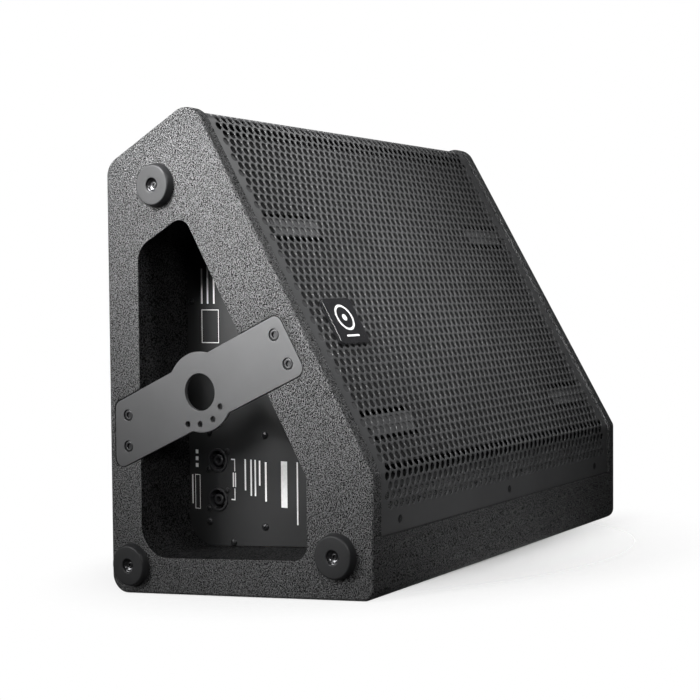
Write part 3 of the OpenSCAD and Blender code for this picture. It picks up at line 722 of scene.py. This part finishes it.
# Generic print on the plate: a line that links the two sockets, two blank frames and plain bars.
INK = 0.06
marks = Build()
to_plate = on_side(WELL_DEPTH - INK)


def bar(y0, z0, y1, z1):
    plate(marks, to_plate, [(y0, z0), (y1, z0), (y1, z1), (y0, z1)], [], INK, 0.0, bevel=0.02, steps=1)


# the link between the sockets
for sides in ((-99.6, 91.0, -98.6, 103.0), (-99.6, 120.5, -98.6, 133.0), (-98.6, 91.0, -94.6, 92.2),
              (-98.6, 131.8, -94.6, 133.0)):
    bar(*sides)
# bars beside it, on towards the slope
for y, z0, z1, wide in ((-98.0, 104.5, 119.0, 1.4), (-100.6, 104.5, 119.0, 1.4), (-113.4, 102.0, 133.5, 1.8),
                        (-120.6, 97.0, 133.5, 1.8), (-125.8, 97.0, 133.5, 1.8), (-131.2, 108.0, 133.0, 1.8),
                        (-139.0, 92.5, 132.0, 2.2), (-164.0, 88.0, 134.0, 7.4), (-177.0, 72.0, 134.0, 1.6)):
    bar(y, z0, y + wide, z1)
# a bar and squares near the rear
bar(-45.4, 84.0, -44.0, 114.0)
for z in (122.0, 129.0, 136.0):
    bar(-52.5, z, -49.0, z + 4.0)
# the lower frame, then the upper one
for sides in ((-48.6, 79.0, -48.0, 114.5), (-54.6, 79.0, -54.0, 114.5), (-54.0, 79.0, -48.6, 79.6),
              (-54.0, 113.9, -48.6, 114.5), (-81.0, 250.0, -59.0, 250.7), (-81.0, 283.3, -59.0, 284.0),
              (-81.0, 250.7, -80.3, 283.3), (-59.7, 250.7, -59.0, 283.3)):
    bar(*sides)
# bars above the upper frame
for y, z0, z1 in ((-76.0, 290.0, 322.0), (-68.0, 290.0, 328.0), (-60.5, 290.0, 326.0)):
    bar(y, z0, y + 2.0, z1)
marks.finish("plate_print", PRINT, "screen_print", weighted=False)

# ---- perforated grille ----
PITCH, HOLE_R = 10.4, 4.1
ROW = 9.03
COLUMNS = 48
RIM, LIP = 0.5, 0.35  # how wide and how deep the rounded rim of a hole is
FIRST_ROW_Z, PLAIN_TOP = 106.6, 16.0
TIP_H, SIDE_H = ROW * 2 / 3, ROW * 2 / 3 / 2


def grille_path():
    """The sheet's front surface as (length, y, z, normal y, normal z), from its lower edge up."""
    low = np.array((FRONT_TOP[0] + GRILLE_RECESS, GRILLE_LOW))
    corners = inset(OUTLINE, [GRILLE_RECESS] * 5)
    tail = corners[0] + DOWN * (GRILLE_WRAP - 1.0)
    line = [low]
    for i, before, after in ((4, low, corners[0]), (0, corners[4], tail)):
        line += corner_arc(before, corners[i], after, CORNER_R[i] - GRILLE_RECESS, 24)
    line.append(tail)
    fine = [line[0]]
    for p, q in zip(line, line[1:]):
        n = max(1, int(np.hypot(*(q - p))))
        fine += [p + (q - p) * (k + 1) / n for k in range(n)]
    pts = np.array(fine)
    tangent = np.gradient(pts, axis=0)
    tangent /= np.hypot(tangent[:, 0], tangent[:, 1])[:, None]
    length = np.concatenate([[0], np.cumsum(np.hypot(*np.diff(pts, axis=0).T))])
    return length, pts, np.stack([-tangent[:, 1], tangent[:, 0]], 1)


PATH_S, PATH_P, PATH_N = grille_path()
PATH_END = float(PATH_S[-1])


def sheet_point(x, s, depth):
    p = [np.interp(s, PATH_S, PATH_P[:, k]) for k in (0, 1)]
    n = unit(np.array([np.interp(s, PATH_S, PATH_N[:, k]) for k in (0, 1)]))
    return place(x, p[0] - n[0] * depth, p[1] - n[1] * depth)


def build_grille():
    """The sheet as six-sided cells with a round hole each, and plain margins to its edges."""
    first = FIRST_ROW_Z - GRILLE_LOW
    rows = int((PATH_END - PLAIN_TOP - first) / ROW) + 1
    x_left, x_right = PLY + 0.5, CAB_LEN - PLY - 0.5
    slant_h = (TIP_H + SIDE_H) / 2
    half = [(0.0, -TIP_H), (PITCH / 4, -slant_h), (PITCH / 2, -SIDE_H), (PITCH / 2, 0.0), (PITCH / 2, SIDE_H),
            (PITCH / 4, slant_h)]
    corners = [(-x, -y) for x, y in half] + half
    turns = [pi / 2 + k * pi / 6 for k in range(12)]
    spots, index, faces = [], {}, []
    depth = {0: 0.0, 1: LIP, 2: GRILLE_T}

    def spot(x, s, layer):
        key = (round(x, 2), round(s, 2), layer)
        if key not in index:
            index[key] = len(spots)
            spots.append((x, s, layer))
        return index[key]

    def quad(a, b, c, d):
        faces.append((spot(*a), spot(*b), spot(*c), spot(*d)))

    def row_at(j):
        """Height of row j along the sheet, and its shift sideways."""
        return first + j * ROW, -PITCH / 4 if j % 2 else PITCH / 4

    def cell_x(i, shift):
        return CAB_LEN / 2 + shift + (i - (COLUMNS - 1) / 2) * PITCH

    for j in range(rows):
        s0, shift = row_at(j)
        for i in range(COLUMNS):
            cx = cell_x(i, shift)
            cell = {layer: [spot(cx + a, s0 + b, layer) for a, b in corners] for layer in (0, 2)}
            rim, lip, back = ([spot(cx + r * cos(t), s0 + r * sin(t), layer) for t in turns]
                              for r, layer in ((HOLE_R + RIM, 0), (HOLE_R, 1), (HOLE_R, 2)))
            for k in range(12):
                n = (k + 1) % 12
                faces.append((cell[0][k], cell[0][n], rim[n], rim[k]))
                faces.append((rim[k], rim[n], lip[n], lip[k]))
                faces.append((lip[k], lip[n], back[n], back[k]))
                faces.append((back[k], back[n], cell[2][n], cell[2][k]))
    # the plain margins: zigzag edges of the cells joined to straight edges
    left_edge, right_edge = [], []
    for j in range(rows):
        s0, shift = row_at(j)
        last = j == rows - 1
        for sign, keep in ((-1, left_edge), (1, right_edge)):
            end = CAB_LEN / 2 + shift + sign * (COLUMNS - 1) / 2 * PITCH
            wide = end + sign * PITCH / 2
            if j == 0:
                keep += [(end, s0 - TIP_H), (end + sign * PITCH / 4, s0 - slant_h)]
            keep += [(wide, s0 - SIDE_H), (wide, s0), (wide, s0 + SIDE_H)]
            inward = last or shift * sign > 0
            keep.append((end + sign * (1 if inward else 3) * PITCH / 4, s0 + slant_h))
            if last:
                keep.append((end, s0 + TIP_H))
    margins = ((left_edge, x_left), (right_edge, x_right))
    for keep, x_edge in margins:
        for layer in (0, 2):
            for (xa, sa), (xb, sb) in zip(keep, keep[1:]):
                quad((xa, sa, layer), (xb, sb, layer), (x_edge, sb, layer), (x_edge, sa, layer))
    ends = []
    for j, sign in ((0, -1), (rows - 1, 1)):
        s0, shift = row_at(j)
        row = [(x_left, s0 + sign * TIP_H)]
        for i in range(COLUMNS):
            cx = cell_x(i, shift)
            if i:
                row += [(cx - PITCH / 2, s0 + sign * SIDE_H), (cx - PITCH / 4, s0 + sign * slant_h)]
            row.append((cx, s0 + sign * TIP_H))
            if i < COLUMNS - 1:
                row.append((cx + PITCH / 4, s0 + sign * slant_h))
        row.append((x_right, s0 + sign * TIP_H))
        edge = 0.0 if sign < 0 else PATH_END
        steps = [edge + (s0 + sign * (TIP_H + 0.6) - edge) * k / 4 for k in range(5)]
        for layer in (0, 2):
            levels = [row] + [[(x, s) for x, _ in row] for s in reversed(steps)]
            for a, b in zip(levels, levels[1:]):
                for k in range(len(row) - 1):
                    quad((*a[k], layer), (*a[k + 1], layer), (*b[k + 1], layer), (*b[k], layer))
        ends.append([(x, edge) for x, _ in row])
        for keep, x_edge in margins:
            keep += [(x_edge, s) for s in steps]
    # the rim all round the sheet
    for row in ends:
        for a, b in zip(row, row[1:]):
            quad((*a, 0), (*b, 0), (*b, 2), (*a, 2))
    for keep, x_edge in margins:
        run = sorted(set(round(s, 2) for _, s in keep))
        for a, b in zip(run, run[1:]):
            quad((x_edge, a, 0), (x_edge, b, 0), (x_edge, b, 2), (x_edge, a, 2))
    build = Build()
    build.points = [sheet_point(x, s, depth[layer]) for x, s, layer in spots]
    build.faces = [f for f in faces if len(set(f)) == len(f)]
    return build


build_grille().finish("perforated_grille", GRILLE_COAT, "grille_steel", replaces=["grille"], angle=35,
                      weighted=False)

# ---- surround and spider, in sectors ----
WOOFER_X, FLANGE_Z = 240.0, -34.0
SECTORS, SECTOR_STEPS = 16, 5
SURROUND_Z = FLANGE_Z + 5
SURROUND_R, ROLL_R, CLOTH_T = (112.0, 125.0, 143.0), 6.8, 1.2
SPIDER_R, SPIDER_SPAN, SPIDER_Z, SPIDER_T = 26.1, 53.0, -86.0, 1.0
WAVE_H, WAVE_END = 1.4, 16


def sprung_ring(name, node, rows, held_r, driven_r):
    """A ring turned from closed profile rows of (radius, height), in sectors, since a blend is straight.
    The points at held_r and driven_r are worked out but not used."""
    to = on_slope(WOOFER_X, 0.0)
    for k in range(SECTORS):
        turns = [2 * pi * (k + j / SECTOR_STEPS) / SECTORS for j in range(SECTOR_STEPS + 1)]
        build = Build()
        build.loft([[to(r * cos(a), r * sin(a), h) for r, h in rows] for a in turns], True)
        piece = build.finish(f"{name}_{k:02d}", CLOTH, "treated_cloth", body=None, replaces=[node], weighted=False)
        mid = 2 * pi * (k + 0.5) / SECTORS
        held, driven = (to(r * cos(mid), r * sin(mid), rows[0][1]) for r in (held_r, driven_r))
        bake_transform(piece)
        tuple(held)
        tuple(driven)


def roll_row(r, rise):
    """One face of the surround: a half-round roll of radius r between its two flat rims."""
    low = asin(rise / r)
    turns = [pi - low - (pi - 2 * low) * j / 14 for j in range(15)]
    roll = [(SURROUND_R[1] + r * cos(a), SURROUND_Z + r * sin(a)) for a in turns]
    return [(SURROUND_R[0], SURROUND_Z + rise)] + roll + [(SURROUND_R[2], SURROUND_Z + rise)]


sprung_ring("surround_sector", "woofer_surround",
            roll_row(ROLL_R, CLOTH_T) + roll_row(ROLL_R - CLOTH_T, 0.0)[::-1], 128.0, 119.5)
waves = [(SPIDER_R + SPIDER_SPAN * k / 80, WAVE_H * sin(pi / 2 * min(k / 4, WAVE_END))) for k in range(81)]
sprung_ring("spider_sector", "woofer_spider",
            [(r, h + SPIDER_Z) for r, h in waves] + [(r, h + SPIDER_Z - SPIDER_T) for r, h in waves[::-1]],
            70.5, 31.0)

# ---- grille screws ----
grille_screws = Build()
FRONT_SCREW_UP, TOP_SCREW_DOWN, SCREW_PITCH = 11.5, 28.5, 225.0
OUT_TOP = -turn_in(DOWN)
top_at = APEX + DOWN * TOP_SCREW_DOWN - OUT_TOP * GRILLE_RECESS
for k in range(3):
    x = CAB_LEN / 2 + (k - 1) * SCREW_PITCH
    front_at = (x, FRONT_TOP[0] + GRILLE_RECESS, GRILLE_LOW + FRONT_SCREW_UP)
    for to in (on_face(front_at, (1, 0, 0), (0, 0, 1), (0, 1, 0)),
               on_face((x, *top_at), (1, 0, 0), (0, *DOWN), (0, *-OUT_TOP))):
        turned(grille_screws, to, [
            (0.001, 1.3), (1.0, 1.2, "cross"), (2.1, -0.42, "cross"), (2.7, -0.4), (3.4, -0.25), (4.0, 0.0),
            (4.1, 0.15), (1.8, 2.3), (1.8, 10.0)], n=36, turn=0.9 * k + 0.2)
grille_screws.finish("grille_head_screws", BLACK_SCREW, "black_screw", replaces=["grille_screws"])

# ---- foam behind the grille ----
BLOCK_XS = (79.0, CAB_LEN - 79.0)
BLOCK_YS = (AXIS_DOWN - 140.0, AXIS_DOWN - 355.0)
BLOCK_ROOM, PIN_ROOM = (42, 13), 14
FOAM_TOP = -(GRILLE_RECESS + GRILLE_T) - 0.06
FOAM_BACK = -(GRILLE_RECESS + GRILLE_T) - 5.2
FOAM_SIDE, FOAM_Y = 35.3, (-147.8, 211.8)
CELL_DEPTH = 0.35
rng = np.random.default_rng(7)


def foam_sheet():
    """A thin sheet with uneven faces, left out around the support blocks and the badge's pin."""
    xs = np.linspace(FOAM_SIDE, CAB_LEN - FOAM_SIDE, 98)
    ys = np.linspace(*FOAM_Y, 73)
    to = on_slope(0.0, 0.0)
    dip = rng.random((len(xs), len(ys))) * CELL_DEPTH

    def inside(x, y):
        beside_x = any(abs(x - bx) < BLOCK_ROOM[0] for bx in BLOCK_XS)
        beside_y = any(abs(y - by) < BLOCK_ROOM[1] for by in BLOCK_YS)
        return not (beside_x and beside_y) and hypot(x - BADGE_X, y) > PIN_ROOM

    build = Build()
    grid = {}
    keep = {(i, j) for i in range(len(xs) - 1) for j in range(len(ys) - 1)
            if inside((xs[i] + xs[i + 1]) / 2, (ys[j] + ys[j + 1]) / 2)}
    for i, j in sorted({(i + a, j + b) for i, j in keep for a in (0, 1) for b in (0, 1)}):
        for k, z in enumerate((FOAM_TOP - dip[i, j], FOAM_BACK + dip[i, j] * 0.5)):
            grid[i, j, k] = len(build.points)
            build.points.append(to(xs[i], ys[j], z))
    for i, j in sorted(keep):
        ring = [(i, j), (i + 1, j), (i + 1, j + 1), (i, j + 1)]
        build.faces.append(tuple(grid[*p, 0] for p in ring))
        build.faces.append(tuple(grid[*p, 1] for p in reversed(ring)))
        for k, step in enumerate(((0, -1), (1, 0), (0, 1), (-1, 0))):
            if (i + step[0], j + step[1]) not in keep:
                p, q = ring[k], ring[(k + 1) % 4]
                build.faces.append((grid[*p, 0], grid[*p, 1], grid[*q, 1], grid[*q, 0]))
    return build


foam = foam_sheet().finish("foam_sheet", FOAM, "foam", replaces=["grille_foam"], weighted=False)


WADDING_Z, WADDING_T = (60.0, 400.0), 18.5
STAPLES = [(a, b) for a in (0.25, 0.75) for b in (0.2, 0.5, 0.8)]


def wadding(name, x0, x1, phase):
    """A soft quilted pad on the rear panel: crowned, pulled in at its edges and at a few staples."""
    build = Build()
    n_x, n_z = 28, 34
    z0, z1 = WADDING_Z
    y_back = -PLY - 0.7

    def crown(u, v):
        edge = min(u, 1 - u, v, 1 - v)
        lift = min(1.0, edge / 0.09) ** 0.5
        dimple = sum(exp(-((u - a) ** 2 + (v - b) ** 2) / 0.004) for a, b in STAPLES)
        ripple = 0.06 * sin(17 * u + phase) * sin(23 * v + 2 * phase)
        return max(0.06, lift * (0.86 - 0.45 * dimple + ripple))

    def at(i, j):
        return i * (n_z + 1) + j

    front, back = [], []
    for i in range(n_x + 1):
        for j in range(n_z + 1):
            u, v = i / n_x, j / n_z
            x, z = x0 + (x1 - x0) * u, z0 + (z1 - z0) * v
            front.append(place(x, y_back - WADDING_T * crown(u, v), z))
            back.append(place(x, y_back, z))
    f, b = build.ring(front), build.ring(back)
    for i in range(n_x):
        for j in range(n_z):
            q = (at(i, j), at(i + 1, j), at(i + 1, j + 1), at(i, j + 1))
            build.faces.append(tuple(f[k] for k in q))
            build.faces.append(tuple(b[k] for k in reversed(q)))
    rim = [at(i, 0) for i in range(n_x)] + [at(n_x, j) for j in range(n_z)]
    rim += [at(i, n_z) for i in range(n_x, 0, -1)] + [at(0, j) for j in range(n_z, 0, -1)]
    build.bridge([f[k] for k in rim], [b[k] for k in rim])
    obj = build.finish(name, WADDING, "wadding", replaces=["damping_wadding"], weighted=False, angle=60)


wadding("wadding_long", 100.0, 380.0, 0.4)
wadding("wadding_short", 404.0, 534.0, 1.7)

# ---- badge ----
BADGE_OUT = -GRILLE_RECESS + 0.3
BADGE_T, BADGE_HALF, BADGE_R = 4.0, 25.0, 5.0
EMBLEM_LOW, EMBLEM_HIGH, EMBLEM_UP = BADGE_T - 0.05, BADGE_T + 0.15, 3.0
badge_face = on_slope(BADGE_X, 0.0, BADGE_OUT)
badge, emblem = Build(), Build()


def rounded_box(half_x, half_y, r, steps):
    corners = [np.array(c) * (half_x, half_y) for c in ((1, 1), (-1, 1), (-1, -1), (1, -1))]
    return [tuple(p) for p in rounded(corners, [r] * 4, steps=steps)]


def emblem_part(outer, holes=()):
    plate(emblem, badge_face, outer, holes, EMBLEM_LOW, EMBLEM_HIGH, bevel=0.05, steps=1)


plate(badge, badge_face, rounded_box(BADGE_HALF, BADGE_HALF, BADGE_R, 8), [], 0.0, BADGE_T, bevel=0.7, steps=4)
turned(badge, badge_face, [(3.0, 0.05), (3.0, -8.0)], n=24)
badge.finish("badge_plate", GLOSS, "badge_plastic", body="badge_turn", replaces=["badge"])
emblem_part(circle(14.0, 64, (0, EMBLEM_UP)), [circle(11.6, 64, (0, EMBLEM_UP))])
emblem_part(circle(3.6, 40, (0, EMBLEM_UP)))
emblem_part([(x, y - 16.8) for x, y in rounded_box(11.0, 1.0, 0.95, 5)])
emblem.finish("badge_emblem", PRINT, "screen_print", body="badge_turn", weighted=False)

# ---- floor, light, camera ----
FLOOR_RINGS, FLOOR_STEPS, FLOOR_Z = (0.2, 0.5, 0.9, 1.3, 1.6), 96, -0.0005
FADE_START, FADE_END = 0.02, 0.4


def floor():
    """A pale disc that fades out, so that only the shadow under the cabinet is left of it."""
    n = FLOOR_STEPS
    points = [(0.0, 0.0, FLOOR_Z)] + [(*p, FLOOR_Z) for r in FLOOR_RINGS for p in circle(r, n)]
    faces = []
    for k in range(n):
        faces.append((0, 1 + k, 1 + (k + 1) % n))
        for j in range(len(FLOOR_RINGS) - 1):
            a, b = 1 + j * n, 1 + (j + 1) * n
            faces.append((a + k, b + k, b + (k + 1) % n, a + (k + 1) % n))
    mesh = bpy.data.meshes.new("floor")
    mesh.from_pydata(points, [], faces)
    obj = add_object("floor", mesh)
    m = bpy.data.materials.new("pale_floor")
    m.use_nodes = True
    nt = m.node_tree
    link = nt.links.new
    bsdf = set_inputs(nt.nodes["Principled BSDF"], Base_Color=(0.86, 0.86, 0.86, 1), Roughness=0.7,
                      Specular_IOR_Level=0.1)
    clear, mix = add_node(nt, "BsdfTransparent"), add_node(nt, "MixShader")
    length = add_node(nt, "VectorMath")
    length.operation = "LENGTH"
    fade = add_node(nt, "MapRange", From_Min=FADE_START, From_Max=FADE_END)
    fade.interpolation_type = "SMOOTHSTEP"
    link(add_node(nt, "TexCoord").outputs["Object"], length.inputs[0])
    link(length.outputs["Value"], fade.inputs["Value"])
    link(fade.outputs["Result"], mix.inputs["Fac"])
    link(bsdf.outputs["BSDF"], mix.inputs[1])
    link(clear.outputs["BSDF"], mix.inputs[2])
    link(mix.outputs["Shader"], nt.nodes["Material Output"].inputs["Surface"])
    mesh.materials.append(m)


def studio_world():
    """White where the camera sees it, and nearly dark to everything else."""
    world = bpy.data.worlds.new("studio")
    bpy.context.scene.world = world
    world.use_nodes = True
    nt = world.node_tree
    link = nt.links.new
    seen = set_inputs(nt.nodes["Background"], Color=(1, 1, 1, 1), Strength=1.0)
    dim = add_node(nt, "Background", Color=(1, 1, 1, 1), Strength=0.03)
    mix = add_node(nt, "MixShader")
    link(add_node(nt, "LightPath").outputs["Is Camera Ray"], mix.inputs["Fac"])
    link(dim.outputs["Background"], mix.inputs[1])
    link(seen.outputs["Background"], mix.inputs[2])
    link(mix.outputs["Shader"], nt.nodes["World Output"].inputs["Surface"])


def softbox(name, at, target, size, watts, spread=180):
    light = bpy.data.lights.new(name, "AREA")
    light.shape, light.size, light.size_y = "RECTANGLE", size, size
    light.energy, light.spread = watts, radians(spread)
    obj = add_object(name, light)
    obj.location = at
    obj.rotation_mode = "QUATERNION"
    obj.rotation_quaternion = (Vector(target) - Vector(at)).to_track_quat("-Z", "Y")


floor()
studio_world()
softbox("sheen", (-1.374, 0.943, 0.562), (-0.25, 0.0, 0.25), 0.6, 9.5)
softbox("side_key", (-0.9, 0.35, 0.7), (-0.27, 0.08, 0.35), 0.3, 0.8, 50)
softbox("apex_key", (-0.85, 0.18, 0.8), (-0.27, 0.0, 0.46), 0.25, 1.0, 36)
softbox("right_key", (-1.1, 0.4, 0.4), (-0.27, -0.11, 0.22), 0.25, 0.14, 26)
softbox("edge_key", (-0.7, -0.55, 0.45), (-0.27, -0.17, 0.24), 0.25, 0.4, 35)
softbox("slope_sheen", (1.3, -0.35, 1.6), (0.0, -0.05, 0.3), 0.6, 2.6)
softbox("lip_light", (-0.45, -0.95, 0.95), (0.0, -0.03, 0.34), 0.25, 1.2, 36)
softbox("far_fill", (1.6, 0.9, 0.6), (0.27, 0.0, 0.2), 0.9, 9.0)
softbox("rake", (-0.6, 0.0, 1.1), (-0.03, -0.03, 0.34), 0.3, 0.7, 40)

# The camera stands and looks as the perspective fit of the photo puts it.
CAMERA_AT = (-1.3532, -0.8414, 0.2262)
CAMERA_RIGHT, CAMERA_UP = Vector((0.5404, -0.8381, -0.0744)), Vector((0.0404, -0.0624, 0.9972))
CAMERA_LENS, CAMERA_SENSOR = 73.96, 36.0
camera_data = bpy.data.cameras.new("camera")
camera_data.lens, camera_data.sensor_width = CAMERA_LENS, CAMERA_SENSOR
camera = add_object("camera", camera_data)
right = CAMERA_RIGHT.normalized()
back = right.cross(CAMERA_UP).normalized()
turn = Matrix((right, back.cross(right), back)).transposed().to_4x4()
camera.matrix_world = Matrix.Translation(CAMERA_AT) @ turn
bpy.context.scene.camera = camera
bpy.context.scene.view_settings.view_transform = "Standard"
